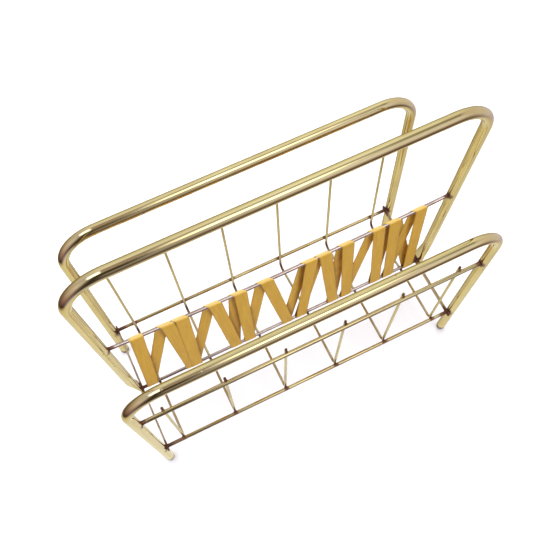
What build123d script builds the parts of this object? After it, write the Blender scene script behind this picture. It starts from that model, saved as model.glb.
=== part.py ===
from build123d import *
import os
from math import asin, degrees, radians, tan

# Magazine rack: two low side hoops and a taller handle hoop of bent brass tube, joined at the
# bottom by a flat side strip at each end. Straight wires cross each hoop, six U-shaped basket
# wires make the floor and the side panels, and one flat cane band is wound to and fro round the
# two wires of the handle hoop, as a divider.
#
# Millimetres. +Z is up, +X runs along the rack's length, -Y is the front.
# The origin is on the floor, under the middle of the rack.

# ---- Driving dimensions ---------------------------------------------------------------------

tube_diameter = 12.0
tube_wall = 1.0
bend_radius = 44.0            # centreline radius of a hoop's two top corners
leg_spacing = 424.0           # between the centrelines of a hoop's two legs

wire_level = 76.0             # height of the lower wires above the floor
side_hoop_top = 340.0         # height of a side hoop's top centreline
handle_top = 463.0            # height of the handle's top centreline
side_wire_height = 251.0      # height of the upper wire of a side hoop
divider_wire_height = 278.0   # height of the ends of the divider's upper wire
divider_wire_sag = 11.0       # how far the wound band pulls that wire down in its middle

side_offset = 86.0            # side hoops forward and back of the middle, at wire level
side_splay = 1.5              # degrees that a side hoop leans outwards
divider_offset = -2.0         # the handle hoop's place at wire level
handle_lean = 2.2             # degrees that the handle hoop leans towards the front

upper_wire_diameter = 5.0
lower_wire_diameter = 4.6
divider_wire_diameter = 4.2
basket_wire_diameter = 3.3

strip_thickness = 2.0
strip_height = 9.0
strip_top = 4.0               # the strip's top edge above wire level
strip_overshoot = 6.0         # the strip's ends past the lower wires

flat_thickness = 2.2          # the handle's pressed-flat leg ends
flat_width = 17.0
flat_start = 58.0             # above wire level, where the round tube begins to flatten
flat_full = 10.0              # above wire level, where it is fully flat
flat_end = -5.0               # its bottom edge, against the side strip
flat_tip_radius = 12.0        # the rounding of that bottom edge

basket_wire_count = 6
basket_wire_spacing = 72.4
basket_tip = 5.0              # the basket wires' ends above the upper side wires' centres
basket_rear_drop = 22.0       # the rear corner of the floor wires below wire level
front_corner_radius = 6.0
middle_bend_radius = 40.0
rear_corner_radius = 8.0

foot_flat_radius = 2.5        # the worn flat under each domed foot
plug_depth = 12.0             # the plug's spigot inside the tube
plug_clearance = 0.05

band_width = 15.5
band_thickness = 0.5
band_clearance = 0.08

# Where the cane band meets the divider's two wires, run by run from the left: its middle at the
# upper wire, and its middle at the lower wire. It goes down the front and comes back up behind.
band_front_runs = [
    (-175.5, -190.5),
    (-140.0, -134.5),
    (-123.5, -127.5),
    (-84.5, -70.0),
    (-54.5, -50.0),
    (-22.0, 6.0),
    (32.5, 26.0),
    (50.0, 74.0),
    (78.5, 94.0),
    (117.5, 139.0),
    (138.0, 159.0),
    (171.5, 190.5),
]
band_wrap_shift = 5.0         # how far a run moves along while it passes over the upper wire
band_tail = 141.0             # where the last run behind ends, at the upper wire

# ---- Worked out from those ------------------------------------------------------------------

tube_radius = tube_diameter / 2
leg_x = leg_spacing / 2
inner_x = leg_x - tube_radius
strip_inner_x = inner_x - strip_thickness
dome_height = (tube_radius ** 2 - foot_flat_radius ** 2) ** 0.5
band_inner_radius = divider_wire_diameter / 2 + band_clearance
band_outer_radius = band_inner_radius + band_thickness
divider_wire_z = divider_wire_height - wire_level
sag_radius = (leg_x ** 2 + divider_wire_sag ** 2) / (2 * divider_wire_sag)


def place(base_y, lean):
    """Location of a hoop's own frame: its origin at wire level, leaning towards the front."""
    return Pos(0, base_y, wire_level) * Rot(lean, 0, 0)


front_place = place(-side_offset, side_splay)
rear_place = place(side_offset, -side_splay)
divider_place = place(divider_offset, handle_lean)


# ---- Tubes ----------------------------------------------------------------------------------

def hoop_sweep(top, leg_bottom, section):
    """An inverted U with two rounded corners, in the XZ plane, swept with a given section."""
    route = FilletPolyline(
        (-leg_x, 0, leg_bottom),
        (-leg_x, 0, top),
        (leg_x, 0, top),
        (leg_x, 0, leg_bottom),
        radius=bend_radius,
    )
    start = Plane(origin=route @ 0, z_dir=route % 0)
    return sweep(start * section, route)


tube_section = Circle(tube_radius) - Circle(tube_radius - tube_wall)
side_top = side_hoop_top - wire_level
side_leg_bottom = dome_height - wire_level
side_hoop = hoop_sweep(side_top, side_leg_bottom, tube_section)
side_hoop_outside = hoop_sweep(side_top, side_leg_bottom, Circle(tube_radius))

handle_hoop_top = handle_top - wire_level
handle_tube = hoop_sweep(handle_hoop_top, flat_start, tube_section)
handle_outside = hoop_sweep(handle_hoop_top, flat_start, Circle(tube_radius))


def flattened_end(side):
    """The last of a handle leg: round tube pressed flat against its inner side."""
    flat_x = side * (inner_x + flat_thickness / 2)
    round_plane = Plane(origin=(side * leg_x, 0, flat_start), z_dir=(0, 0, 1))
    flat_plane = Plane(origin=(flat_x, 0, flat_full), z_dir=(0, 0, 1))
    flat_section = RectangleRounded(flat_thickness, flat_width, flat_thickness * 0.45)
    outside = loft([flat_plane * flat_section, round_plane * Circle(tube_radius)])
    bore_section = RectangleRounded(0.4, flat_width - 3, 0.18)
    bore = loft([flat_plane * bore_section, round_plane * Circle(tube_radius - tube_wall)])
    tab = extrude(flat_plane * flat_section, -(flat_full - flat_end))
    tip = Pos(flat_x, 0, flat_end + flat_tip_radius) * Rot(0, 90, 0)
    tab = tab & (tip * Cylinder(flat_tip_radius, 4 * flat_thickness))
    return (outside - bore) + tab


handle_hoop = handle_tube + flattened_end(-1) + flattened_end(1)


# ---- Feet -----------------------------------------------------------------------------------

def foot_plug(side):
    """A domed plug in a leg's end, worn flat where it stands."""
    half_ball = Sphere(
        tube_radius, arc_size1=-90, arc_size2=0, align=(Align.CENTER, Align.CENTER, Align.MAX)
    )
    dome = Pos(0, 0, side_leg_bottom) * half_ball
    spigot_radius = tube_radius - tube_wall - plug_clearance
    spigot = Pos(0, 0, side_leg_bottom) * Cylinder(
        spigot_radius, plug_depth, align=(Align.CENTER, Align.CENTER, Align.MIN)
    )
    return Pos(side * leg_x, 0, 0) * (dome + spigot)


below_floor = Pos(0, 0, -tube_radius) * Box(2 * leg_spacing, 4 * side_offset, 2 * tube_radius)


# ---- Wires ----------------------------------------------------------------------------------

def cross_wire(diameter, height, half_length):
    """A straight wire along X, in a hoop's own plane."""
    return Pos(0, 0, height) * Rot(0, 90, 0) * Cylinder(diameter / 2, 2 * half_length)


def upper_wire(diameter, height, outside):
    """A wire whose ends are coped to fit against the two legs."""
    return cross_wire(diameter, height, leg_x) - outside


def sagging_height(x):
    """Height of the divider's bowed upper wire above wire level."""
    return divider_wire_z - divider_wire_sag + sag_radius - (sag_radius ** 2 - x ** 2) ** 0.5


def bow_angle(x):
    """How far round its own centre the bowed wire has turned at x, in degrees."""
    return degrees(asin(x / sag_radius))


def sagging_wire(diameter):
    """The divider's upper wire: one long arc that hangs between the handle's legs."""
    end_x = inner_x - 0.2
    route = ThreePointArc(
        (-end_x, 0, sagging_height(-end_x)),
        (0, 0, sagging_height(0)),
        (end_x, 0, sagging_height(end_x)),
    )
    start = Plane(origin=route @ 0, z_dir=route % 0)
    return sweep(start * Circle(diameter / 2), route)


side_wire_z = side_wire_height - wire_level
side_upper_wire = upper_wire(upper_wire_diameter, side_wire_z, side_hoop_outside)
side_lower_wire = cross_wire(lower_wire_diameter, 0, strip_inner_x)
divider_upper_wire = sagging_wire(divider_wire_diameter)
divider_lower_wire = cross_wire(divider_wire_diameter, 0, strip_inner_x)


def basket_wire(x):
    """One U: down inside the front panel, back under the divider, up inside the rear panel."""
    radius = basket_wire_diameter / 2
    lean = tan(radians(side_splay))
    low_y = side_offset - lower_wire_diameter / 2 - radius
    high_y = side_offset + lean * side_wire_z - upper_wire_diameter / 2 - radius
    slope = (high_y - low_y) / side_wire_z
    tip_z = side_wire_z + basket_tip
    tip_y = low_y + slope * tip_z
    floor_z = -divider_wire_diameter / 2 - radius
    points = [
        (x, -tip_y, tip_z),
        (x, -(low_y + slope * floor_z), floor_z),
        (x, divider_offset, floor_z),
        (x, low_y - slope * basket_rear_drop, -basket_rear_drop),
        (x, tip_y, tip_z),
    ]
    radii = [front_corner_radius, middle_bend_radius, rear_corner_radius]
    route = FilletPolyline(*points, radius=radii)
    start = Plane(origin=route @ 0, z_dir=route % 0)
    wire = sweep(start * Circle(radius), route)
    for tip in (points[0], points[-1]):
        wire += Pos(*tip) * Sphere(radius)
    return Pos(0, 0, wire_level) * wire


# ---- Side strips ----------------------------------------------------------------------------

def side_strip(side):
    """A flat bar on edge that joins the three hoops at one end of the rack."""
    length = 2 * (side_offset + strip_overshoot)
    middle_x = side * (inner_x - strip_thickness / 2)
    middle_z = wire_level + strip_top - strip_height / 2
    bar = Box(strip_thickness, length, strip_height)
    return Pos(middle_x, 0, middle_z) * bar


# ---- Cane band ------------------------------------------------------------------------------

def band_run(upper_x, lower_x, facing):
    """A flat stretch of the band between the divider's wires, on one face of the divider."""
    half = band_width / 2
    turn = bow_angle(upper_x - half)
    top = CenterArc(
        center=(0, sagging_height(0) + sag_radius),
        radius=sag_radius,
        start_angle=turn - 90,
        arc_size=bow_angle(upper_x + half) - turn,
    )
    sides = Polyline(top @ 1, (lower_x + half, 0), (lower_x - half, 0), top @ 0)
    outline = make_face(top.edges() + sides.edges())
    sheet = extrude(Plane.XZ * outline, band_thickness / 2, both=True)
    return Pos(0, facing * (band_inner_radius + band_thickness / 2), 0) * sheet


def half_ring(above):
    """The band's section where it passes over a wire (+1) or under one (-1)."""
    ring = Circle(band_outer_radius) - Circle(band_inner_radius)
    keep = Pos(0, above * band_outer_radius) * Rectangle(3 * band_outer_radius, 2 * band_outer_radius)
    return Plane.YZ * (ring & keep)


def lower_wrap(middle_x):
    """The band's half turn under the lower wire."""
    return Pos(middle_x, 0, 0) * extrude(half_ring(-1), band_width / 2, both=True)


def upper_wrap(first_x, last_x):
    """The band's half turn over the bowed upper wire, from one edge to the other."""
    section = Pos(0, 0, sagging_height(0)) * half_ring(1)
    hub = Axis((0, 0, sagging_height(0) + sag_radius), (0, 1, 0))
    turn = bow_angle(last_x) - bow_angle(first_x)
    return revolve(section, hub, turn).rotate(hub, -bow_angle(last_x))


def wound_band():
    """The whole band, one piece from its first run in front to its tail behind."""
    half = band_width / 2
    front_tops = [upper for upper, lower in band_front_runs]
    lows = [lower for upper, lower in band_front_runs]
    back_tops = [upper - band_wrap_shift for upper in front_tops[1:]] + [band_tail]
    wraps = [[front_tops[0] - half, front_tops[0] + half]]
    for back_top, front_top in zip(back_tops, front_tops[1:]):
        if back_top - half <= wraps[-1][1]:
            wraps[-1][1] = front_top + half
        else:
            wraps.append([back_top - half, front_top + half])
    pieces = []
    for front_top, low, back_top in zip(front_tops, lows, back_tops):
        pieces.append(band_run(front_top, low, -1))
        pieces.append(lower_wrap(low))
        pieces.append(band_run(back_top, low, 1))
    for first_x, last_x in wraps:
        pieces.append(upper_wrap(first_x, last_x))
    band = pieces[0]
    for piece in pieces[1:]:
        band += piece
    return band


# ---- The rack -------------------------------------------------------------------------------

parts = {
    "front_hoop": front_place * side_hoop,
    "rear_hoop": rear_place * side_hoop,
    "handle_hoop": divider_place * handle_hoop,
    "left_side_strip": side_strip(-1),
    "right_side_strip": side_strip(1),
    "front_upper_wire": front_place * side_upper_wire,
    "front_lower_wire": front_place * side_lower_wire,
    "rear_upper_wire": rear_place * side_upper_wire,
    "rear_lower_wire": rear_place * side_lower_wire,
    "divider_upper_wire": divider_place * divider_upper_wire,
    "divider_lower_wire": divider_place * divider_lower_wire,
    "cane_band": divider_place * wound_band(),
}

for number in range(basket_wire_count):
    wire_x = (number - (basket_wire_count - 1) / 2) * basket_wire_spacing
    parts[f"basket_wire_{number + 1}"] = basket_wire(wire_x)

for row, row_place in (("front", front_place), ("rear", rear_place)):
    for end, side in (("left", -1), ("right", 1)):
        parts[f"foot_plug_{row}_{end}"] = row_place * foot_plug(side) - below_floor

os.makedirs("parts", exist_ok=True)
for name, shape in parts.items():
    export_step(shape, f"parts/{name}.step")
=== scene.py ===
from math import atan2, cos, pi, radians, sin, sqrt

import bmesh
import bpy
import numpy as np
from mathutils import Matrix, Vector, noise


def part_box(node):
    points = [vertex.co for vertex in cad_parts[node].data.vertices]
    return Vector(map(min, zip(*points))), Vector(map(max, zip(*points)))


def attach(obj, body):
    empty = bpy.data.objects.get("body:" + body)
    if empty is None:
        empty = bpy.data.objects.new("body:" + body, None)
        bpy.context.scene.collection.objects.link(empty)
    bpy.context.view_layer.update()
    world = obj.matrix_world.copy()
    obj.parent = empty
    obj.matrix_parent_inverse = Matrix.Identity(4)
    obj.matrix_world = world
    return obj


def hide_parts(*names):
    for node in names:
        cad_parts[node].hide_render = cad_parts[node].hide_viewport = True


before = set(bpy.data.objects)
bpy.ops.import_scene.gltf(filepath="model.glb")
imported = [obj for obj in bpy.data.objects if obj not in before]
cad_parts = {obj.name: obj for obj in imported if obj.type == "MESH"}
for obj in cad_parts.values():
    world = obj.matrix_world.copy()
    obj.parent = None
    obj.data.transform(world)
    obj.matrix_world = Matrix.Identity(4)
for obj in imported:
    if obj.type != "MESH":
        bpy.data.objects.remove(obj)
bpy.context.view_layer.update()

# Magazine rack of bent brass tube and brazed brass wire, with a flat cane band wound round the
# two wires of the handle hoop. Metres. +Z is up, +X runs along the rack, -Y is the front.
# Nothing on it moves, so every piece rides on the one body.

MM = 0.001
BODY = "root"

# ---- Sizes and places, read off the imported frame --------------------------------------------

TUBE_RADIUS = 6.0 * MM
BEND_RADIUS = 44.0 * MM
FLAT_THICKNESS = 2.2 * MM
FLAT_WIDTH = 17.0 * MM
FLAT_START = 58.0 * MM         # height above wire level where a handle leg begins to flatten
FLAT_FULL = 10.0 * MM
FLAT_TIP_ROUNDING = 8.0 * MM
BAND_WIDTH = 15.5 * MM
BAND_THICKNESS = 0.5 * MM
BAND_CLEARANCE = 0.08 * MM
BAND_WRAP_SHIFT = 5.0 * MM
BAND_TAIL = 141.0 * MM
BAND_FRONT_RUNS = [
    (-175.5, -190.5),
    (-140.0, -134.5),
    (-123.5, -127.5),
    (-84.5, -70.0),
    (-54.5, -50.0),
    (-22.0, 6.0),
    (32.5, 26.0),
    (50.0, 74.0),
    (78.5, 94.0),
    (117.5, 139.0),
    (138.0, 159.0),
    (171.5, 190.5),
]
BASKET_COUNT = 6


def middle(node):
    """The middle of a CAD node's box."""
    low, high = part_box(node)
    return Vector([(a + b) / 2 for a, b in zip(low, high)])


def thickness(node, axis):
    """A CAD node's extent along one axis."""
    low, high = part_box(node)
    return high[axis] - low[axis]


leg_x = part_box("front_hoop")[1][0] - TUBE_RADIUS
inner_x = leg_x - TUBE_RADIUS
strip_thickness = thickness("left_side_strip", 0)
strip_inner_x = inner_x - strip_thickness
wire_level = middle("divider_lower_wire").z

ROWS = ("front", "rear")
SIDE = {"front": -1, "rear": 1}
lower_wire = {row: middle(f"{row}_lower_wire") for row in ("front", "rear", "divider")}
upper_wire = {row: middle(f"{row}_upper_wire") for row in ("front", "rear", "divider")}
wire_radius = {
    f"{row}_{level}": thickness(f"{row}_{level}_wire", 2) / 2
    for row in ("front", "rear", "divider") for level in ("upper", "lower")
}
# The divider's upper wire hangs in an arc: its box gives the height of its ends and its middle.
wire_radius["divider_upper"] = wire_radius["divider_lower"]
bow_low, bow_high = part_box("divider_upper_wire")
upper_wire["divider"].y = bow_low[1] + wire_radius["divider_upper"]
upper_wire["divider"].z = bow_high[2] - wire_radius["divider_upper"]
basket_radius = thickness("basket_wire_1", 0) / 2
basket_x = [middle(f"basket_wire_{number + 1}").x for number in range(BASKET_COUNT)]


def hoop_plane(row):
    """A hoop's place at wire level, and the unit vector that points up along its legs."""
    up = (upper_wire[row] - lower_wire[row]).normalized()
    return lower_wire[row].copy(), up


def hoop_height(row, up):
    """How far a hoop's top centreline is above wire level, along its legs."""
    node = "handle_hoop" if row == "divider" else f"{row}_hoop"
    top_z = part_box(node)[1][2] - TUBE_RADIUS
    return (top_z - wire_level) / up.z


bow_up = hoop_plane("divider")[1].z
bow_ends = (upper_wire["divider"] - lower_wire["divider"]).length
bow_middle = (bow_low[2] + wire_radius["divider_upper"] - wire_level) / bow_up
bow_rise = bow_ends - bow_middle
bow_radius = (inner_x ** 2 + bow_rise ** 2) / (2 * bow_rise)


def bowed_height(x):
    """Height of the divider's upper wire above its lower one, up the divider, at a place in x."""
    return bow_middle + bow_radius - sqrt(bow_radius ** 2 - x ** 2)


# ---- Where the parts are brazed together ----------------------------------------------------

# Each stain is a place, how far the brown reaches from it, and how strong it is.
stains = []


def stain(point, reach, strength=1.0):
    stains.append((Vector(point), reach * MM, strength))


floor_z = wire_level - wire_radius["divider_lower"] - basket_radius
rear_corner_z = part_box("basket_wire_1")[0][2] + basket_radius

for end in (-1, 1):
    for row in ("front", "rear", "divider"):
        low, high = lower_wire[row], upper_wire[row]
        stain((end * inner_x, high.y, high.z), 5.5)
        stain((end * (strip_inner_x - 2 * MM), low.y, low.z), 7.0 if row == "divider" else 9.0)
        stain((end * inner_x, low.y, low.z + 1 * MM), 6.5)
for x in basket_x:
    stain((x, lower_wire["front"].y, lower_wire["front"].z), 3.4)
    stain((x, upper_wire["front"].y + 4 * MM, upper_wire["front"].z + 5 * MM), 2.8)
    stain((x, lower_wire["divider"].y, lower_wire["divider"].z - 2 * MM), 3.4)
    stain((x, lower_wire["rear"].y, lower_wire["rear"].z), 4.2)
    stain((x, lower_wire["rear"].y - 3 * MM, lower_wire["rear"].z - 14 * MM), 11.0, 0.85)
    stain((x, upper_wire["rear"].y - 4 * MM, upper_wire["rear"].z + 3 * MM), 3.0)

# Darker brown round the bottom end of each leg, just above its foot.
for row in ROWS:
    for end in (-1, 1):
        base, up = hoop_plane(row)
        stain(base + up * (-base.z / up.z + 2.5 * MM) + Vector((end * leg_x, 0, 0)), 9.5, 1.0)
front_low = lower_wire["front"]
for step in range(7):
    heated_x = -strip_inner_x + (basket_x[0] + strip_inner_x) * step / 6
    stain((heated_x, front_low.y, front_low.z), 6.0, 0.55)


def add_tarnish(mesh):
    """Writes, at every vertex, how brown the metal is near the nearest stain: the heat of a joint,
    or the darker bottom end of a leg.
    """
    count = len(mesh.vertices)
    places = np.empty(count * 3)
    mesh.vertices.foreach_get("co", places)
    places = places.reshape(count, 3)
    amount = np.zeros(count)
    for place, reach, strength in stains:
        away = np.linalg.norm(places - np.array(place), axis=1) / reach
        amount = np.maximum(amount, strength * np.exp(-(away ** 2) * 0.9))
    layer = mesh.attributes.new("tarnish", "FLOAT", "POINT")
    layer.data.foreach_set("value", amount.astype(np.float32))


# ---- Small helpers for meshes ---------------------------------------------------------------

def new_object(name, data):
    obj = bpy.data.objects.new(name, data)
    bpy.context.scene.collection.objects.link(obj)
    return obj


def skin(rings):
    """A closed tube of quads through rings that all have the same number of points."""
    shape = bmesh.new()
    loops = [[shape.verts.new(point) for point in ring] for ring in rings]
    count = len(loops[0])
    for first, second in zip(loops, loops[1:]):
        for i in range(count):
            j = (i + 1) % count
            shape.faces.new((first[i], first[j], second[j], second[i]))
    for loop in (loops[0], loops[-1]):
        centre = shape.verts.new(sum((vert.co for vert in loop), Vector()) / count)
        for i in range(count):
            shape.faces.new((loop[i], loop[(i + 1) % count], centre))
    bmesh.ops.recalc_face_normals(shape, faces=shape.faces)
    return shape


def mesh_of(shape, name, material):
    """Turns a bmesh into a smooth mesh with one material."""
    mesh = bpy.data.meshes.new(name)
    for face in shape.faces:
        face.smooth = True
    shape.to_mesh(mesh)
    shape.free()
    mesh.materials.append(material)
    return mesh


def join_into(target, shape):
    """Adds one bmesh to another."""
    spare = bpy.data.meshes.new("spare")
    shape.to_mesh(spare)
    shape.free()
    target.from_mesh(spare)
    bpy.data.meshes.remove(spare)


def points_outwards(mesh):
    """Makes sure that a closed mesh has its faces outwards."""
    mesh.calc_loop_triangles()
    volume = 0.0
    for triangle in mesh.loop_triangles:
        a, b, c = (mesh.vertices[i].co for i in triangle.vertices)
        volume += a.dot(b.cross(c))
    if volume < 0:
        mesh.flip_normals()


# ---- Node helpers ---------------------------------------------------------------------------

class Wiring:
    """Adds nodes to a tree and links them, with plain values set on their sockets."""

    def __init__(self, tree):
        self.tree = tree

    def add(self, kind, settings=None, **values):
        node = self.tree.nodes.new(kind)
        for key, value in (settings or {}).items():
            setattr(node, key, value)
        for key, value in values.items():
            self.feed(node, key, value)
        return node

    def feed(self, node, key, value):
        key = int(key[1:]) if key[0] == "i" and key[1:].isdigit() else key.replace("_", " ")
        socket = node.inputs[key]
        if isinstance(value, bpy.types.NodeSocket):
            self.tree.links.new(value, socket)
        else:
            socket.default_value = value

    def math(self, operation, first, second=0.0, third=None):
        values = {"i0": first, "i1": second}
        if third is not None:
            values["i2"] = third
        return self.add("ShaderNodeMath", {"operation": operation}, **values).outputs[0]

    def plus(self, first, second):
        return self.math("ADD", first, second)

    def minus(self, first, second):
        return self.math("SUBTRACT", first, second)

    def times(self, first, second):
        return self.math("MULTIPLY", first, second)

    def noise(self, place, scale, detail, rough=0.5):
        """Noise at a place, from 0 to 1. A scale of three numbers stretches it first."""
        if isinstance(scale, tuple):
            place = self.add("ShaderNodeMapping", Vector=place, Scale=scale).outputs[0]
            scale = 1.0
        values = {"Vector": place, "Scale": scale, "Detail": detail, "Roughness": rough}
        return self.add("ShaderNodeTexNoise", **values).outputs["Fac"]

    def painted(self, name, output="Fac"):
        """A value that the mesh carries at its vertices, for a material."""
        return self.add("ShaderNodeAttribute", {"attribute_name": name}).outputs[output]

    def carried(self, name, kind="FLOAT"):
        """A value that the mesh carries at its points, for a geometry tree."""
        node = self.add("GeometryNodeInputNamedAttribute", {"data_type": kind}, Name=name)
        return node.outputs["Attribute"]

    def scaled(self, vector, factor):
        node = self.add("ShaderNodeVectorMath", {"operation": "SCALE"}, i0=vector, Scale=factor)
        return node.outputs[0]

    def ramp(self, factor, stops):
        node = self.add("ShaderNodeValToRGB", i0=factor)
        points = node.color_ramp.elements
        while len(points) < len(stops):
            points.new(0.5)
        for point, (place, colour) in zip(points, stops):
            point.position = place
            point.color = colour if len(colour) == 4 else (*colour, 1.0)
        return node.outputs["Color"]

    def mix(self, factor, first, second, blend="MIX"):
        node = self.tree.nodes.new("ShaderNodeMix")
        node.data_type = "RGBA"
        node.blend_type = blend
        for index, value in ((0, factor), (6, first), (7, second)):
            if isinstance(value, bpy.types.NodeSocket):
                self.tree.links.new(value, node.inputs[index])
            elif index == 0:
                node.inputs[index].default_value = value
            else:
                node.inputs[index].default_value = (*value, 1.0)
        return node.outputs[2]

    def spread(self, value, low, high, new_low=0.0, new_high=1.0, smooth=True):
        kind = {"interpolation_type": "SMOOTHSTEP" if smooth else "LINEAR"}
        node = self.add("ShaderNodeMapRange", kind)
        for key, number in zip(
            ("Value", "From Min", "From Max", "To Min", "To Max"),
            (value, low, high, new_low, new_high),
        ):
            if isinstance(number, bpy.types.NodeSocket):
                self.tree.links.new(number, node.inputs[key])
            else:
                node.inputs[key].default_value = number
        return node.outputs["Result"]


def start_material(name):
    material = bpy.data.materials.new(name)
    material.use_nodes = True
    tree = material.node_tree
    tree.nodes.clear()
    wiring = Wiring(tree)
    shader = wiring.add("ShaderNodeBsdfPrincipled")
    output = wiring.add("ShaderNodeOutputMaterial")
    tree.links.new(shader.outputs[0], output.inputs[0])
    return material, wiring, shader


# ---- Finishes -------------------------------------------------------------------------------

SOOT = (0.050, 0.017, 0.011)
SCALE_BROWN = (0.170, 0.062, 0.033)


def brass_finish(name, bright, aged, gloss, age=0.5, pits=1.0, heat=1.0):
    """Aged polished brass: lengthwise polish lines, browner patches, pits and heat stains."""
    material, w, shader = start_material(name)
    place = w.add("ShaderNodeTexCoord").outputs["Object"]
    stained = w.painted("tarnish")

    lines = w.noise(w.painted("rod", "Vector"), (620.0, 620.0, 7.0), 3.0)
    clouds = w.noise(place, 14.0, 5.0, 0.6)
    grain = w.noise(place, 420.0, 3.0)
    cells = w.add("ShaderNodeTexVoronoi", Vector=place, Scale=95.0, Randomness=1.0)
    chance = w.add("ShaderNodeSeparateColor", Color=cells.outputs["Color"]).outputs[0]
    spot = w.spread(cells.outputs["Distance"], 0.05, 0.13, 1.0, 0.0)
    few = w.spread(chance, 0.82, 0.84)
    pitted = w.times(w.times(spot, few), pits)

    patch = w.spread(clouds, 0.44, 0.68, 0.0, age)
    colour = w.mix(patch, bright, aged)
    streak = w.spread(lines, 0.46, 0.68, 0.0, 0.75)
    colour = w.mix(streak, colour, tuple(0.5 * (a + b) for a, b in zip(bright, aged)))
    colour = w.mix(w.times(pitted, 0.85), colour, SCALE_BROWN)

    edge = w.plus(stained, w.times(w.minus(grain, 0.5), 0.55))
    edge = w.plus(edge, w.times(w.minus(clouds, 0.5), 0.35))
    brown = w.times(w.spread(edge, 0.16, 0.50), w.spread(stained, 0.02, 0.12))
    black = w.times(w.spread(edge, 0.55, 1.0), 0.65)
    brown = w.times(brown, heat)
    colour = w.mix(w.times(brown, 0.92), colour, SCALE_BROWN)
    colour = w.mix(w.times(black, brown), colour, SOOT)
    w.feed(shader, "Base_Color", colour)

    metal = w.spread(brown, 0.0, 1.0, 1.0, 0.72, smooth=False)
    w.feed(shader, "Metallic", metal)
    rough = w.spread(lines, 0.2, 0.8, gloss, gloss + 0.03, smooth=False)
    rough = w.plus(rough, w.times(patch, 0.07))
    rough = w.plus(rough, w.times(pitted, 0.35))
    rough = w.plus(rough, w.times(brown, 0.28))
    w.feed(shader, "Roughness", rough)

    height = w.times(lines, 0.015)
    height = w.plus(height, w.times(w.times(grain, brown), 0.8))
    height = w.minus(height, w.times(pitted, 1.0))
    bump = w.add("ShaderNodeBump", Height=height, Strength=0.35, Distance=0.0001)
    w.feed(shader, "Normal", bump.outputs[0])
    return material


def cane_finish(name):
    """Flat ochre cane: fine fibres along the band, darker specks and edges, a satin surface."""
    material, w, shader = start_material(name)
    place = w.add("ShaderNodeUVMap", {"uv_map": "band"}).outputs[0]
    fibres = w.noise(place, (1500.0, 26.0, 1.0), 4.0, 0.6)
    bands = w.noise(place, (330.0, 12.0, 1.0), 3.0)
    clouds = w.noise(place, (90.0, 40.0, 1.0), 4.0)
    dashes = w.spread(w.noise(place, (1100.0, 170.0, 1.0), 2.0), 0.66, 0.76)

    colour = w.ramp(bands, [
        (0.28, (0.66, 0.365, 0.014)),
        (0.50, (0.71, 0.400, 0.018)),
        (0.72, (0.75, 0.435, 0.024)),
    ])
    colour = w.mix(w.spread(clouds, 0.45, 0.75, 0.0, 0.25), colour, (0.560, 0.285, 0.025))
    colour = w.mix(w.spread(fibres, 0.40, 0.75, 0.0, 0.26), colour, (0.440, 0.215, 0.018))
    colour = w.mix(w.times(dashes, 0.38), colour, (0.220, 0.090, 0.012))
    across = w.add("ShaderNodeSeparateXYZ", Vector=place).outputs[0]
    from_middle = w.math("ABSOLUTE", w.minus(across, BAND_WIDTH / 2))
    rim = w.spread(from_middle, BAND_WIDTH * 0.44, BAND_WIDTH * 0.52, 0.0, 0.55)
    colour = w.mix(rim, colour, (0.300, 0.125, 0.014))
    # Pale yellow at the tops of the wraps over the upper wire: partly rubbing wear, partly a
    # painted highlight where the wraps face the light from above.
    worn = w.plus(w.painted("worn"), w.times(fibres, 0.3))
    worn = w.spread(worn, 0.45, 1.1, 0.0, 0.9)
    colour = w.mix(worn, colour, (0.600, 0.440, 0.150))
    # Painted shadow: the runs behind go darker brown beside the edges of the runs that lie in front
    # of them.
    contact_shadow = w.times(w.painted("contact_shadow"), w.spread(clouds, 0.2, 0.7, 0.35, 0.70))
    colour = w.mix(contact_shadow, colour, (0.240, 0.085, 0.008))
    w.feed(shader, "Base_Color", colour)
    w.feed(shader, "Roughness", w.spread(fibres, 0.2, 0.8, 0.46, 0.64, smooth=False))
    w.feed(shader, "Specular_IOR_Level", 0.28)
    height = w.plus(w.times(fibres, 0.6), w.times(bands, 0.8))
    height = w.minus(height, w.times(dashes, 0.5))
    bump = w.add("ShaderNodeBump", Height=height, Strength=0.5, Distance=0.00025)
    w.feed(shader, "Normal", bump.outputs[0])
    return material


tube_brass = brass_finish("aged tube brass", (0.77, 0.645, 0.34), (0.60, 0.46, 0.22), 0.045)
wire_brass = brass_finish("drawn wire brass", (0.63, 0.53, 0.28), (0.40, 0.30, 0.16), 0.08, 0.8)
grey_wire = brass_finish("worn plated wire", (0.60, 0.50, 0.47), (0.34, 0.24, 0.22), 0.08, 0.8)
strip_brass = brass_finish(
    "tarnished strip brass", (0.55, 0.44, 0.27), (0.26, 0.17, 0.10), 0.28, 1.0
)
foot_brass = brass_finish("scuffed foot brass", (0.27, 0.23, 0.225), (0.14, 0.11, 0.11), 0.34, 1.0)
braze_metal = brass_finish("braze metal", (0.36, 0.17, 0.09), (0.17, 0.07, 0.04), 0.26, 1.0, 0.7)
cane = cane_finish("ochre cane")


# ---- Rods: round bar or tube along a route with rounded corners ------------------------------

def start_tree(name, **inputs):
    """A geometry node tree with one geometry output and the given named inputs."""
    tree = bpy.data.node_groups.new(name, "GeometryNodeTree")
    tree.is_modifier = True
    put = tree.interface.new_socket
    put("Geometry", in_out="OUTPUT", socket_type="NodeSocketGeometry")
    for title, kind in inputs.items():
        put(title.replace("_", " "), in_out="INPUT", socket_type="NodeSocket" + kind)
    wiring = Wiring(tree)
    return tree, wiring, wiring.add("NodeGroupInput").outputs


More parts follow.
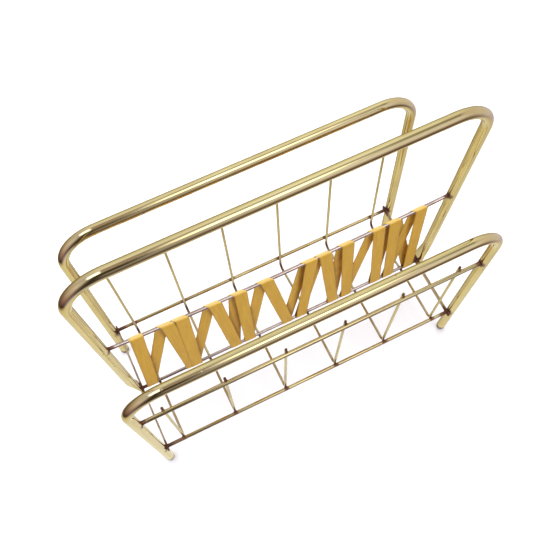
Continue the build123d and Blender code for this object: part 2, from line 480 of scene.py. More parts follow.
def rod_tree():
    """Geometry nodes that sweep a round section along a route and round its corners."""
    tree, w, given = start_tree(
        "rod along a route", Route="Geometry", Rod_Radius="Float", Ring_Spacing="Float",
        Corner_Pieces="Int", Sides="Int", Finish="Material",
    )

    def store(geometry, name, value, kind="FLOAT_VECTOR"):
        settings = {"data_type": kind, "domain": "POINT"}
        values = {"Geometry": geometry, "Name": name, "Value": value}
        return w.add("GeometryNodeStoreNamedAttribute", settings, **values).outputs[0]

    line = w.add("GeometryNodeMeshToCurve", Mesh=given["Route"]).outputs[0]
    round_corners = w.add("GeometryNodeFilletCurve", {"mode": "POLY"})
    w.feed(round_corners, "Curve", line)
    w.feed(round_corners, "Count", given["Corner Pieces"])
    w.feed(round_corners, "Radius", w.carried("bend"))
    w.feed(round_corners, "Limit_Radius", True)
    even = w.add("GeometryNodeResampleCurve", {"mode": "LENGTH"}, Length=given["Ring Spacing"])
    w.feed(even, "Curve", round_corners.outputs[0])
    length = w.add("GeometryNodeSplineParameter").outputs["Length"]
    spine = store(even.outputs[0], "along", length, "FLOAT")
    section = w.add("GeometryNodeCurvePrimitiveCircle", {"mode": "RADIUS"})
    w.feed(section, "Resolution", given["Sides"])
    w.feed(section, "Radius", given["Rod Radius"])
    rim = store(section.outputs[0], "section", w.add("GeometryNodeInputPosition").outputs[0])
    solid = w.add("GeometryNodeCurveToMesh", Curve=spine, Profile_Curve=rim, Fill_Caps=True)
    around = w.carried("section", "FLOAT_VECTOR")
    parts = w.add("ShaderNodeSeparateXYZ", Vector=around).outputs
    unrolled = w.add("ShaderNodeCombineXYZ", X=parts[0], Y=parts[1], Z=w.carried("along"))
    rod = store(solid.outputs[0], "rod", unrolled.outputs[0])
    smooth = w.add("GeometryNodeSetShadeSmooth", Geometry=rod)
    real = w.add("GeometryNodeRealizeInstances", Geometry=smooth.outputs[0])
    finish = w.add("GeometryNodeSetMaterial", Geometry=real.outputs[0], Material=given["Finish"])
    w.add("NodeGroupOutput", Geometry=finish.outputs[0])
    return tree


ROD = rod_tree()


def grow(name, base, tree, values):
    """Runs a node tree on a base mesh, with its inputs set by identifier, and keeps the mesh."""
    maker = new_object(name + "_maker", base)
    shaper = maker.modifiers.new("shape", "NODES")
    shaper.node_group = tree
    for item in tree.interface.items_tree:
        if item.item_type == "SOCKET" and item.in_out == "INPUT" and item.name in values:
            shaper[item.identifier] = values[item.name]
    maker.update_tag()
    graph = bpy.context.evaluated_depsgraph_get()
    mesh = bpy.data.meshes.new_from_object(
        maker.evaluated_get(graph), preserve_all_data_layers=True, depsgraph=graph
    )
    mesh.name = name
    maker.modifiers.remove(shaper)
    bpy.data.objects.remove(maker)
    for spare in ("bend", "section", "along"):
        if spare in mesh.attributes:
            mesh.attributes.remove(mesh.attributes[spare])
    return mesh


def rod_mesh(name, points, bends, radius, spacing, sides, finish, corner_pieces=24):
    """A rod along a route whose inner points have their own bend radii."""
    route = bpy.data.meshes.new(name + "_route")
    links = [(i, i + 1) for i in range(len(points) - 1)]
    route.from_pydata([tuple(point) for point in points], links, [])
    bend = route.attributes.new("bend", "FLOAT", "POINT")
    bend.data.foreach_set("value", [0.0, *bends, 0.0])
    mesh = grow(name, route, ROD, {
        "Rod Radius": radius,
        "Ring Spacing": spacing,
        "Corner Pieces": corner_pieces,
        "Sides": sides,
        "Finish": finish,
    })
    points_outwards(mesh)
    return mesh


def finish_piece(name, mesh, slot, *nodes):
    """Adds a finished mesh to the rack, in the place of the CAD nodes that it stands for."""
    add_tarnish(mesh)
    piece = new_object(name, mesh)
    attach(piece, BODY)
    if nodes:
        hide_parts(*nodes)
    return piece


# ---- Hoops ----------------------------------------------------------------------------------

def hoop_route(row, leg_bottom):
    """The four corners of an inverted U, with its legs ending at a height above wire level."""
    base, up = hoop_plane(row)
    top = base + up * hoop_height(row, up)
    foot = base + up * leg_bottom
    left, right = Vector((-leg_x, 0, 0)), Vector((leg_x, 0, 0))
    return [foot + left, top + left, top + right, foot + right]


plug_seam = {}
for row in ROWS:
    base, up = hoop_plane(row)
    tilt = sqrt(max(0.0, 1 - up.z ** 2))
    seam_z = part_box(f"{row}_hoop")[0][2] + TUBE_RADIUS * tilt
    leg_bottom = (seam_z - wire_level) / up.z
    plug_seam[row] = base + up * leg_bottom
    tube = rod_mesh(
        f"{row}_hoop_tube", hoop_route(row, leg_bottom), [BEND_RADIUS] * 2,
        TUBE_RADIUS, 2.5 * MM, 40, tube_brass,
    )
    finish_piece(f"{row}_hoop_tube", tube, "brass_tube", f"{row}_hoop")


def press_flat(mesh):
    """Presses the handle's two leg ends flat against the side strips, with rounded tips."""
    base, up = hoop_plane("divider")
    across = Vector((0, up.z, -up.y))
    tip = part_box("left_side_strip")[0][2] - base.z
    for vert in mesh.vertices:
        offset = vert.co - base
        height = offset.dot(up)
        if height > FLAT_START:
            continue
        side = 1 if offset.x > 0 else -1
        out = side * offset.x - leg_x
        wide = offset.dot(across)
        angle = atan2(wide, out)
        press = min(1.0, (FLAT_START - height) / (FLAT_START - FLAT_FULL))
        press = press * press * (3 - 2 * press)
        reach = min(1.0, sqrt(out * out + wide * wide) / TUBE_RADIUS)
        flat_out = abs(cos(angle)) ** 0.3 * (1 if cos(angle) > 0 else -1)
        half_width = FLAT_WIDTH / 2
        above_tip = (height - tip) / FLAT_TIP_ROUNDING
        if above_tip < 1:
            half_width *= sqrt(max(0.06, 1 - (1 - above_tip) ** 2))
        new_out = -TUBE_RADIUS + FLAT_THICKNESS / 2 + reach * flat_out * FLAT_THICKNESS / 2
        new_wide = reach * sin(angle) * half_width
        out = out + (new_out - out) * press
        wide = wide + (new_wide - wide) * press
        vert.co = base + up * height + across * wide + Vector((side * (leg_x + out), 0, 0))


handle_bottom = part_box("left_side_strip")[0][2] - wire_level
handle = rod_mesh(
    "handle_tube", hoop_route("divider", handle_bottom), [BEND_RADIUS] * 2,
    TUBE_RADIUS, 2.0 * MM, 40, tube_brass,
)
press_flat(handle)
finish_piece("handle_tube", handle, "brass_tube", "handle_hoop")


# ---- Cross wires ----------------------------------------------------------------------------

for row in ("front", "rear", "divider"):
    for level, places, half in (
        ("upper", upper_wire, inner_x + 0.8 * MM), ("lower", lower_wire, strip_inner_x + 0.2 * MM)
    ):
        name = f"{row}_{level}_wire"
        centre = places[row]
        route = [centre - Vector((half, 0, 0)), centre + Vector((half, 0, 0))]
        if name == "divider_upper_wire":
            base, up = hoop_plane(row)
            steps = [half * (2 * i / 60 - 1) for i in range(61)]
            route = [base + Vector((x, 0, 0)) + up * bowed_height(x) for x in steps]
        metal = grey_wire if row == "divider" else wire_brass
        radius = wire_radius[f"{row}_{level}"]
        wire = rod_mesh(name, route, [0.0] * (len(route) - 2), radius, 1.6 * MM, 20, metal)
        slot = "divider_wire" if row == "divider" else "brass_wire"
        finish_piece(f"{name}_rod", wire, slot, name)


# ---- Basket wires ---------------------------------------------------------------------------

def dome(centre, direction, radius, sides=14, steps=5):
    """A closed half ball for a wire's cut end."""
    turn = direction.normalized().to_track_quat("Z", "Y")
    rings = []
    for step in range(steps + 1):
        angle = (pi / 2 - 0.06) * step / steps
        ring = []
        for i in range(sides):
            spin = 2 * pi * i / sides
            point = Vector((cos(spin) * cos(angle), sin(spin) * cos(angle), sin(angle)))
            ring.append(centre + turn @ (point * radius))
        rings.append(ring)
    return skin(rings)


def basket_route(number):
    """The corners of one U: front tip, front corner, under the divider, rear corner, rear tip."""
    x = basket_x[number]
    low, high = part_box(f"basket_wire_{number + 1}")
    front_tip = Vector((x, low[1] + basket_radius, high[2] - basket_radius))
    rear_tip = Vector((x, high[1] - basket_radius, high[2] - basket_radius))
    inside = lower_wire["rear"].y - wire_radius["rear_lower"] - basket_radius
    slope = (rear_tip.y - inside) / (rear_tip.z - wire_level)
    front_y = -(inside + slope * (floor_z - wire_level))
    rear_y = inside + slope * (rear_corner_z - wire_level)
    return [
        front_tip,
        Vector((x, front_y, floor_z)),
        Vector((x, lower_wire["divider"].y, floor_z)),
        Vector((x, rear_y, rear_corner_z)),
        rear_tip,
    ]


BASKET_BENDS = [6.0 * MM, 40.0 * MM, 8.0 * MM]

for number in range(BASKET_COUNT):
    route = basket_route(number)
    name = f"basket_wire_{number + 1}"
    wire = rod_mesh(name, route, BASKET_BENDS, basket_radius, 1.2 * MM, 14, wire_brass)
    shape = bmesh.new()
    shape.from_mesh(wire)
    for end, before in ((route[0], route[1]), (route[-1], route[-2])):
        join_into(shape, dome(end, end - before, basket_radius))
    for face in shape.faces:
        face.smooth = True
    shape.to_mesh(wire)
    shape.free()
    finish_piece(f"{name}_rod", wire, "brass_wire", name)


# ---- Side strips ----------------------------------------------------------------------------

def strip_section(y, middle_x, middle_z, half_thick, half_high, corner=0.45 * MM):
    """The strip's rounded outline at one place along it."""
    outline = []
    for cx, cz, start in ((1, 1, 0), (-1, 1, 90), (-1, -1, 180), (1, -1, 270)):
        for step in range(4):
            angle = radians(start + 30 * step)
            outline.append(Vector((
                middle_x + cx * (half_thick - corner) + corner * cos(angle),
                y,
                middle_z + cz * (half_high - corner) + corner * sin(angle),
            )))
    return outline


for side, word in ((-1, "left"), (1, "right")):
    node = f"{word}_side_strip"
    low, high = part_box(node)
    centre = middle(node)
    half_thick, half_high = (high[0] - low[0]) / 2, (high[2] - low[2]) / 2
    rings = []
    steps = 110
    for step in range(steps + 1):
        y = low[1] + (high[1] - low[1]) * step / steps
        from_end = min(y - low[1], high[1] - y)
        worn = 1 - 0.22 * max(0.0, 1 - from_end / (2.2 * MM)) ** 2
        wave = 0.12 * MM * noise.noise(Vector((side * 3.0, y * 60.0, 0.0)))
        rings.append(strip_section(
            y, centre.x, centre.z + wave * worn, half_thick * worn, (half_high - 0.15 * MM) * worn
        ))
    strip = mesh_of(skin(rings), f"{node}_bar", strip_brass)
    points_outwards(strip)
    finish_piece(f"{node}_bar", strip, "side_strip", node)


# ---- Feet -----------------------------------------------------------------------------------

# Radius and height above the seam, in millimetres, down the plug's shoulder to where it curves in.
FOOT_SHOULDER = [(5.0, 0.9), (5.45, 0.55), (5.5, -0.05), (5.62, -0.22), (5.92, -0.42)]

for row in ROWS:
    for side, word in ((-1, "left"), (1, "right")):
        node = f"foot_plug_{row}_{word}"
        seam = plug_seam[row] + Vector((side * leg_x, 0, 0))
        flat_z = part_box(node)[0][2]
        drop = seam.z - flat_z
        profile = [(r * MM, h * MM) for r, h in FOOT_SHOULDER]
        steps = 9
        start = 0.13
        stop = atan2(drop, sqrt(TUBE_RADIUS ** 2 - drop ** 2))
        for step in range(steps + 1):
            angle = start + (stop - start) * step / steps
            profile.append((TUBE_RADIUS * cos(angle) - 0.03 * MM, -TUBE_RADIUS * sin(angle)))
        profile[-1] = (profile[-1][0], -drop)
        profile.append((profile[-1][0] * 0.6, -drop))
        rings = []
        for r, h in profile:
            ring = []
            for i in range(36):
                spin = 2 * pi * i / 36
                ring.append(seam + Vector((r * cos(spin), r * sin(spin), h)))
            rings.append(ring)
        plug = mesh_of(skin(rings), f"{node}_cap", foot_brass)
        points_outwards(plug)
        finish_piece(f"{node}_cap", plug, "foot_plug", node)


# ---- Brazed joints --------------------------------------------------------------------------

def collar(centre, side, radius, reach, height, surface, steps=6, sides=20, seed=0.0):
    """A hollow fillet round a wire's end, where it meets a leg or a strip.

    surface gives x, outwards, of the wall that it meets, at an offset in y from the wire."""
    rings = []
    for step in range(steps + 1):
        turn = (pi / 2) * step / steps
        ring = []
        for i in range(sides):
            spin = 2 * pi * i / sides
            bump = 1 + 0.28 * noise.noise(Vector((cos(spin) * 1.6, sin(spin) * 1.6, seed)))
            out = radius * 0.96 + height * bump * (1 - cos(turn))
            dy, dz = out * cos(spin), out * sin(spin)
            wall = surface(dy)
            back = reach * bump * (1 - sin(turn))
            ring.append(Vector((side * (wall - back + 0.05 * MM), centre.y + dy, centre.z + dz)))
        rings.append(ring)
    return skin(rings)


def leg_wall(dy):
    """Where a leg's inner side is, at an offset in y from its middle."""
    return leg_x - sqrt(max(0.0, TUBE_RADIUS ** 2 - dy ** 2))


def strip_wall(dy):
    return strip_inner_x


def wedge(centre_y, side, way, low_z, high_z, seed):
    """The braze that runs up the corner between a leg and the strip's outer face."""
    width, wobble, near = 2.9, 0.5, 0.3 * MM
    rings = []
    steps = 12
    for step in range(steps + 1):
        t = step / steps
        z = low_z + (high_z - low_z) * t
        ends = sqrt(max(0.02, 1 - (2 * t - 1) ** 4))
        wide = (width + wobble * noise.noise(Vector((seed, z * 300.0, 0.0)))) * MM * ends
        ring = []
        for k in range(5):
            u = near + (wide - near) * k / 4
            ring.append(Vector((side * (inner_x - 0.1 * MM), centre_y + way * u, z)))
        for k in range(5):
            u = wide - (wide - near) * k / 4
            out = (leg_wall(u) - inner_x) * (0.75 + 0.25 * (1 - k / 4))
            ring.append(Vector((side * (inner_x + out), centre_y + way * u * 0.96, z)))
        rings.append(ring)
    return skin(rings)


def bead_tree():
    """Geometry nodes that put an uneven braze bead at every point of a mesh."""
    tree, w, given = start_tree(
        "braze beads", Points="Geometry", Bead_Radius="Float", Unevenness="Float",
        Seed="Int", Finish="Material",
    )
    ball = w.add("GeometryNodeMeshIcoSphere", Subdivisions=3)
    w.feed(ball, "Radius", given["Bead Radius"])
    spin = w.add("FunctionNodeRandomValue", {"data_type": "FLOAT_VECTOR"})
    vectors = [socket for socket in spin.inputs if socket.type == "VECTOR"]
    vectors[0].default_value = (0.85, 0.85, 0.85)
    vectors[1].default_value = (1.15, 1.15, 1.15)
    seeds = [socket for socket in spin.inputs if socket.name == "Seed"]
    tree.links.new(given["Seed"], seeds[0])
    varied = w.add("ShaderNodeVectorMath", {"operation": "MULTIPLY"})
    tree.links.new(w.carried("stretch", "FLOAT_VECTOR"), varied.inputs[0])
    tree.links.new(spin.outputs[0], varied.inputs[1])
    placed = w.add("GeometryNodeInstanceOnPoints", Points=given["Points"], Instance=ball.outputs[0])
    w.feed(placed, "Scale", varied.outputs[0])
    real = w.add("GeometryNodeRealizeInstances", Geometry=placed.outputs[0])
    rough = w.add("ShaderNodeTexNoise", Scale=700.0, Detail=2.0)
    w.feed(rough, "Vector", w.add("GeometryNodeInputPosition").outputs[0])
    lift = w.times(w.minus(rough.outputs[0], 0.5), given["Unevenness"])
    push = w.scaled(w.add("GeometryNodeInputNormal").outputs[0], lift)
    moved = w.add("GeometryNodeSetPosition", Geometry=real.outputs[0], Offset=push)
    smooth = w.add("GeometryNodeSetShadeSmooth", Geometry=moved.outputs[0])
    finish = w.add("GeometryNodeSetMaterial", Geometry=smooth.outputs[0], Material=given["Finish"])
    w.add("NodeGroupOutput", Geometry=finish.outputs[0])
    return tree


def crossing_points():
    """Where a basket wire touches a cross wire, and how the bead there is stretched."""
    found = []
    for number in range(BASKET_COUNT):
        route = basket_route(number)
        x = basket_x[number]
        for level, places in (("upper", upper_wire), ("lower", lower_wire)):
            for row in ROWS:
                wire = places[row]
                inwards = -SIDE[row]
                contact = wire.y + inwards * wire_radius[f"{row}_{level}"]
                found.append((Vector((x, contact, wire.z)), (1.35, 0.75, 1.25)))
        under = lower_wire["divider"]
        contact = under.z - wire_radius["divider_lower"]
        found.append((Vector((x, under.y, contact)), (1.35, 1.25, 0.75)))
    return found


beads_at = crossing_points()
bead_base = bpy.data.meshes.new("bead_points")
bead_base.from_pydata([tuple(point) for point, stretch in beads_at], [], [])
stretches = bead_base.attributes.new("stretch", "FLOAT_VECTOR", "POINT")
stretches.data.foreach_set("vector", [number for point, stretch in beads_at for number in stretch])
beads = grow("crossing_braze", bead_base, bead_tree(), {
    "Bead Radius": 1.6 * MM,
    "Unevenness": 0.3 * MM,
    "Seed": 7,
    "Finish": braze_metal,
})
if "stretch" in beads.attributes:
    beads.attributes.remove(beads.attributes["stretch"])
finish_piece("crossing_braze", beads, "brass_wire")

ends_shape = bmesh.new()
seed = 0.0
for row in ("front", "rear", "divider"):
    for side in (-1, 1):
        seed += 1.7
        high, low = upper_wire[row], lower_wire[row]
        join_into(ends_shape, collar(
            high, side, wire_radius[f"{row}_upper"], 1.9 * MM, 1.2 * MM, leg_wall, seed=seed
        ))
        join_into(ends_shape, collar(
            low, side, wire_radius[f"{row}_lower"], 2.2 * MM, 1.1 * MM, strip_wall, seed=seed + 0.6
        ))
        if row != "divider":
            strip_low, strip_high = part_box("left_side_strip")
            for way in (-1, 1):
                join_into(ends_shape, wedge(
                    low.y, side, way, strip_low[2] + 0.3 * MM, strip_high[2] - 0.3 * MM,
                    seed + way,
                ))
end_braze = mesh_of(ends_shape, "end_braze", braze_metal)
finish_piece("end_braze", end_braze, "brass_wire")


# ---- Cane band ------------------------------------------------------------------------------

RUN_STEPS = 66
WRAP_STEPS = 12


def smoothstep(low, high, value):
    t = min(1.0, max(0.0, (value - low) / (high - low)))
    return t * t * (3 - 2 * t)


def layers(runs):
    """How many thicknesses each run is lifted by the earlier runs that it lies on, step by step."""
    lifted = []
    for index, (upper, lower) in enumerate(runs):
        heights = []
        for step in range(RUN_STEPS + 1):
            t = step / RUN_STEPS
            x = lower + (upper - lower) * t
            most = 0.0
            for earlier in range(index):
                other_upper, other_lower = runs[earlier]
                other = other_lower + (other_upper - other_lower) * t
                overlap = BAND_WIDTH - abs(x - other)
                lift = smoothstep(-1.5 * MM, 2.5 * MM, overlap) * (lifted[earlier][step] + 1.06)
                most = max(most, lift)
            heights.append(most)
        for again in range(3):
            spread = []
            for i in range(len(heights)):
                near = heights[max(0, i - 3):i + 4]
                spread.append(max(heights[i], sum(near) / len(near)))
            heights = spread
        lifted.append(heights)
    return lifted


def band_stations():
    """The band's middle line from end to end: x, distance in front of the divider, height, lift
    direction in front and up, and how its width slopes where it lies along the bowed wire."""
    front = [(upper * MM, lower * MM) for upper, lower in BAND_FRONT_RUNS]
    tops = [upper - BAND_WRAP_SHIFT for upper, lower in front[1:]] + [BAND_TAIL]
    back = [(top, lower) for top, (upper, lower) in zip(tops, front)]
    front_lift, back_lift = layers(front), layers(back)
    near = wire_radius["divider_upper"] + BAND_CLEARANCE + BAND_THICKNESS / 2
    line = []

    def slope_at(x):
        return x / sqrt(bow_radius ** 2 - x ** 2)

    def wrap(x_from, x_to, above, start, stop, lift_from, lift_to):
        for step in range(1, WRAP_STEPS):
            t = step / WRAP_STEPS
            angle = start + (stop - start) * t
            eased = t * t * (3 - 2 * t)
            x = x_from + (x_to - x_from) * eased
            lift = (lift_from + (lift_to - lift_from) * t) * BAND_THICKNESS
            out = near + lift
            centre_height = bowed_height(x) if above else 0.0
            slope = slope_at(x) if above else 0.0
            height = centre_height + out * sin(angle)
            line.append((x, out * cos(angle), height, cos(angle), sin(angle), slope))

    def run(upper, lower, facing, lift_steps, steps):
        for step in steps:
            t = step / RUN_STEPS
            out = facing * (near + lift_steps[step] * BAND_THICKNESS)
            x = lower + (upper - lower) * t
            line.append((x, out, bowed_height(upper) * t, facing, 0.0, slope_at(upper) * t))

    first_x = front[0][0]
    tail_drop = 9 * MM
    for step in range(6):
        height = bowed_height(first_x) - tail_drop * (1 - step / 6)
        line.append((first_x, -near, height, -1.0, 0.0, slope_at(first_x)))
    wrap(first_x, first_x, True, pi, 0.0, 0.0, front_lift[0][-1])
    for index, (upper, lower) in enumerate(front):
        run(upper, lower, 1.0, front_lift[index], range(RUN_STEPS, -1, -1))
        wrap(lower, lower, False, 0.0, -pi, front_lift[index][0], back_lift[index][0])
        top, low = back[index]
        last = index == len(front) - 1
        run(top, low, -1.0, back_lift[index], range(RUN_STEPS if last else RUN_STEPS + 1))
        if not last:
            wrap(top, front[index + 1][0], True, pi, 0.0, back_lift[index][-1],
                 front_lift[index + 1][-1])
    return line


def wound_band():
    """The band's skin: a thin strap with rounded edges, a little crowned and uneven."""
    base, up = hoop_plane("divider")
    facing = Vector((1, 0, 0)).cross(up)
    half_width, half_thick = BAND_WIDTH / 2, BAND_THICKNESS / 2
    section = []
    across_steps = 6
    for k in range(across_steps + 1):
        section.append((-1 + 2 * k / across_steps, 1.0))
    for k in range(across_steps + 1):
        section.append((1 - 2 * k / across_steps, -1.0))
    edge = 0.35 * MM
    rings = []
    along = []
    far = 0.0
    before = None
    for x, front, height, lift_front, lift_up, slope in band_stations():
        centre = base + Vector((x, 0, 0)) + facing * front + up * height
        lift = facing * lift_front + up * lift_up
        if before is not None:
            far += (centre - before).length
        before = centre
        along.append(far)
        wander = 0.22 * MM * noise.noise(Vector((far * 22.0, 0.0, 1.0)))
        left = half_width + 0.18 * MM * noise.noise(Vector((far * 60.0, 4.0, 0.0)))
        right = half_width + 0.18 * MM * noise.noise(Vector((far * 60.0, 9.0, 0.0)))
        ring = []
        for u, v in section:
            reach = left if u < 0 else right
            flat = abs(u) * reach
            crown = 0.06 * MM * (1 - u * u)
            thick = half_thick
            if abs(u) == 1.0:
                thick = half_thick * 0.45
            elif flat > reach - edge:
                thick = half_thick * 0.9
            offset = u * reach + wander
            bulge = v * thick + crown * (1 if v > 0 else 0.6)
            ring.append(centre + Vector((offset, 0, 0)) + up * (offset * slope) + lift * bulge)
        rings.append(ring)
    return mesh_of(skin(rings), "cane_band_strap", cane), along, section


strap, strap_along, strap_section = wound_band()
ring_size = len(strap_section)
uv = strap.uv_layers.new(name="band")
for polygon in strap.polygons:
    for loop_index in polygon.loop_indices:
        index = strap.loops[loop_index].vertex_index
        ring, k = divmod(index, ring_size)
        if ring >= len(strap_along):
            ring, k = (0 if index == len(strap_along) * ring_size else len(strap_along) - 1), 3
        uv.data[loop_index].uv = ((strap_section[k][0] + 1) / 2 * BAND_WIDTH, strap_along[ring])
points_outwards(strap)


def paint_wear_highlight_and_shadow(mesh):
    """Rubbing wear and a painted highlight where the band goes over the upper wire, and a painted
    contact shadow on the runs behind, beside the edges of the runs in front of them."""
    base, up = hoop_plane("divider")
    facing = Vector((1, 0, 0)).cross(up)
    worn, contact_shadow = [], []
    for vert in mesh.vertices:
        offset = vert.co - base
        height = offset.dot(up)
        top = bowed_height(offset.x)
        # Tops of the wraps over the upper wire: rubbing wear and a painted highlight.
        worn.append(smoothstep(top + 0.9 * MM, top + 2.5 * MM, height))
        # Painted contact shadow: how near a point on a run behind lies to a front run's edge,
        # fading out towards the top of the wrap.
        t = min(1.0, max(0.0, height / top))
        gap = min(
            abs(offset.x - (lower + (upper - lower) * t) * MM) for upper, lower in BAND_FRONT_RUNS
        ) - BAND_WIDTH / 2
        behind = 1.0 if offset.dot(facing) < 0 else 0.0
        near_edge = 1 - smoothstep(0.5 * MM, 5.5 * MM, max(0.0, gap))
        contact_shadow.append(behind * near_edge * (1 - smoothstep(top - 6 * MM, top, height)))
    for title, amounts in (("worn", worn), ("contact_shadow", contact_shadow)):
        layer = mesh.attributes.new(title, "FLOAT", "POINT")
        layer.data.foreach_set("value", np.array(amounts, dtype=np.float32))


paint_wear_highlight_and_shadow(strap)
finish_piece("cane_band_strap", strap, "cane", "cane_band")


# ---- Floor, light and camera ----------------------------------------------------------------

def pale_floor():
    """A plain pale sheet under the rack."""
    half = 6.0
    mesh = bpy.data.meshes.new("pale_floor")
    mesh.from_pydata(
        [(-half, -half, 0), (half, -half, 0), (half, half, 0), (-half, half, 0)], [], [(0, 1, 2, 3)]
    )
    material, w, shader = start_material("white paper")
    place = w.add("ShaderNodeTexCoord").outputs["Object"]
    paper = w.noise(place, 300.0, 2.0)
    shade = w.ramp(paper, [(0.3, (0.92, 0.92, 0.925)), (0.7, (0.94, 0.94, 0.945))])
    w.feed(shader, "Base_Color", shade)
    w.feed(shader, "Roughness", 0.9)
    w.feed(shader, "Specular_IOR_Level", 0.1)
    mesh.materials.append(material)
    floor = new_object("pale_floor", mesh)
    floor.visible_glossy = False


# Light from the room, by the compass and by height: for each side, the brightness at some
# heights in degrees. 0 is the front, 90 the right and 180 the back.
PAPER = (0.96, 0.94, 0.80)
ROOM = [
    (180, 3.0, [(-90, PAPER), (-77, PAPER), (-68, (0.36, 0.30, 0.19)),
                (-50, (0.42, 0.37, 0.12)), (-20, (0.31, 0.26, 0.04)),
                (5, (0.80, 0.81, 0.66)), (35, (1.03, 1.06, 0.96)), (58, (1.17, 1.21, 1.20)),
                (72, (0.66, 0.68, 0.68)), (90, (0.52, 0.50, 0.52))]),
    (-135, 4.0, [(-90, PAPER), (-52, (0.64, 0.57, 0.42)), (-40, (0.075, 0.050, 0.045)),
                 (-15, (0.22, 0.16, 0.125)), (10, (0.50, 0.42, 0.39)), (50, (0.56, 0.60, 0.90)),
                 (90, (0.66, 0.68, 0.90))]),
    (-85, 5.0, [(-90, PAPER), (-52, (0.84, 0.77, 0.48)), (-40, (0.041, 0.014, 0.019)),
                (-20, (0.36, 0.22, 0.26)), (0, (0.61, 0.49, 0.55)), (25, (0.78, 0.73, 0.80)),
                (50, (0.61, 0.57, 0.60)), (90, (0.52, 0.50, 0.52))]),
    (-22, 10.0, [(-90, PAPER), (-55, (0.86, 0.82, 0.62)), (-40, (0.56, 0.57, 0.88)),
                 (-20, (0.095, 0.072, 0.06)), (0, (0.026, 0.018, 0.010)),
                 (35, (0.018, 0.012, 0.009)), (55, (0.045, 0.035, 0.035)),
                 (90, (0.40, 0.36, 0.36))]),
    (25, 11.0, [(-90, PAPER), (-55, (0.72, 0.68, 0.55)), (-42, (0.10, 0.07, 0.10)),
               (-25, (0.065, 0.034, 0.016)), (0, (0.50, 0.40, 0.40)), (22, (0.92, 0.94, 1.10)),
               (45, (0.86, 0.87, 1.03)), (60, (0.90, 0.90, 1.0)), (90, (0.46, 0.44, 0.46))]),
    (90, 4.0, [(-90, PAPER), (-55, (0.72, 0.65, 0.52)), (-42, (0.60, 0.54, 0.70)),
               (-25, (0.76, 0.72, 0.86)), (10, (0.76, 0.72, 0.74)), (45, (0.76, 0.71, 0.69)),
               (62, (0.50, 0.46, 0.42)), (90, (0.62, 0.66, 0.80))]),
]
# Soft windows and dark bars overhead: left, right, front and back edges as slopes from the
# zenith, how soft the edge is, and the brightness.
OVERHEAD = [
    ((0.38, 0.64), (-0.36, 0.14), 0.06, (0.34, 0.34, 0.26)),
    ((-0.72, -0.13), (-0.50, 0.24), 0.12, (2.2, 2.3, 3.0)),
    ((0.06, 0.31), (-0.82, -0.14), 0.07, (3.0, 2.95, 2.9)),
    ((-0.125, 0.015), (-0.45, 0.26), 0.03, (0.42, 0.34, 0.34)),
    ((-0.52, 0.0), (-1.9, -0.50), 0.05, (0.07, 0.055, 0.035)),
    ((0.00, 0.34), (0.05, 0.12), 0.025, (0.34, 0.33, 0.31)),
]


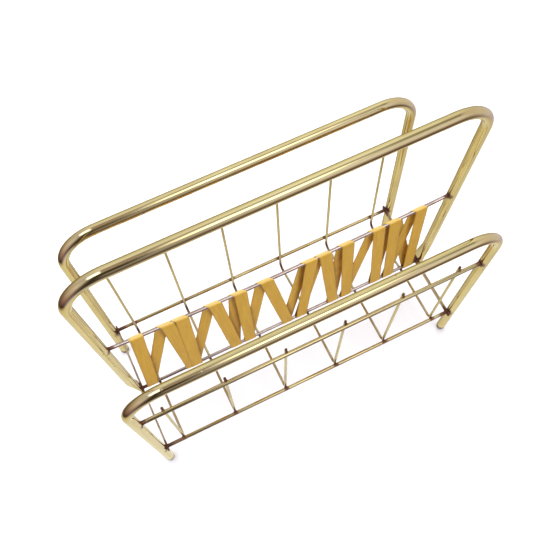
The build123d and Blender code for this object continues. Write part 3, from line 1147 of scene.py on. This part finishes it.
def studio():
    """A pale room with soft windows overhead and darker corners, for the brass to mirror."""
    world = bpy.data.worlds.new("studio")
    world.use_nodes = True
    bpy.context.scene.world = world
    tree = world.node_tree
    tree.nodes.clear()
    w = Wiring(tree)
    way = w.add("ShaderNodeTexCoord").outputs["Generated"]
    x, y, z = w.add("ShaderNodeSeparateXYZ", Vector=way).outputs
    flat = w.math("SQRT", w.plus(w.times(x, x), w.times(y, y)))
    flat = w.math("MAXIMUM", flat, 0.001)
    side, back = w.math("DIVIDE", x, flat), w.math("DIVIDE", y, flat)
    rise = w.math("ARCTAN2", z, flat)
    level = w.spread(rise, -pi / 2, pi / 2, smooth=False)
    total, weights = None, None
    for compass, sharpness, heights in ROOM:
        turn = radians(compass)
        facing = w.plus(w.times(side, sin(turn)), w.times(back, -cos(turn)))
        share = w.math("POWER", w.math("MAXIMUM", facing, 0.0001), sharpness)
        share = w.plus(share, 0.002)
        shade = w.ramp(level, [((degrees + 90) / 180, colour) for degrees, colour in heights])
        part = w.scaled(shade, share)
        if total is None:
            total, weights = part, share
        else:
            sum_node = w.add("ShaderNodeVectorMath", {"operation": "ADD"}, i0=total, i1=part)
            total, weights = sum_node.outputs[0], w.plus(weights, share)
    colour = w.scaled(total, w.math("DIVIDE", 1.0, weights))
    depth = w.math("MAXIMUM", z, 0.05)
    across, along = w.math("DIVIDE", x, depth), w.math("DIVIDE", y, depth)
    above = w.spread(z, 0.05, 0.30)
    for (left, right), (near, far), soft, shade in OVERHEAD:
        inside = w.spread(across, left - soft, left + soft)
        inside = w.times(inside, w.spread(across, right + soft, right - soft))
        inside = w.times(inside, w.spread(along, near - soft, near + soft))
        inside = w.times(inside, w.spread(along, far + soft, far - soft))
        colour = w.mix(w.times(inside, above), colour, shade)
    seen = w.add("ShaderNodeLightPath").outputs["Is Camera Ray"]
    colour = w.mix(seen, colour, (1.0, 1.0, 1.0))
    background = w.add("ShaderNodeBackground", Color=colour, Strength=1.0)
    w.add("ShaderNodeOutputWorld", Surface=background.outputs[0])


def softbox(name, place, target, size, power, tint=(1.0, 0.98, 0.95)):
    """A soft square lamp aimed at a point."""
    lamp = bpy.data.lights.new(name, "AREA")
    lamp.shape = "RECTANGLE"
    lamp.size, lamp.size_y = size
    lamp.energy = power
    lamp.color = tint
    obj = new_object(name, lamp)
    obj.location = place
    obj.rotation_euler = (Vector(target) - Vector(place)).to_track_quat("-Z", "Y").to_euler()
    return obj


def camera():
    """A camera in front of the rack and well above it, looking steeply down along its length."""
    yaw, pitch, roll = 0.4191, -1.1918, -0.0357
    forward = Vector((sin(yaw) * cos(pitch), cos(yaw) * cos(pitch), sin(pitch)))
    level = Vector((cos(yaw), -sin(yaw), 0))
    above = level.cross(forward)
    right = level * cos(roll) + above * sin(roll)
    upward = above * cos(roll) - level * sin(roll)
    lens = bpy.data.cameras.new("camera")
    lens.sensor_width = 36.0
    lens.lens = 737.25 * 36.0 / 560
    lens.shift_x = 0.5 - 280.2 / 560
    lens.shift_y = 282.97 / 560 - 0.5
    lens.clip_start = 0.01
    obj = new_object("camera", lens)
    turn = Matrix((right, upward, -forward)).transposed()
    obj.matrix_world = Matrix.Translation((-0.13185, -0.29227, 1.01989)) @ turn.to_4x4()
    bpy.context.scene.camera = obj


pale_floor()
studio()
softbox("overhead_softbox", (0.0, 0.2, 2.2), (0, 0, 0), (1.6, 1.6), 44.0).visible_glossy = False
camera()
bpy.context.scene.view_settings.view_transform = "Standard"
bpy.context.scene.view_settings.look = "None"
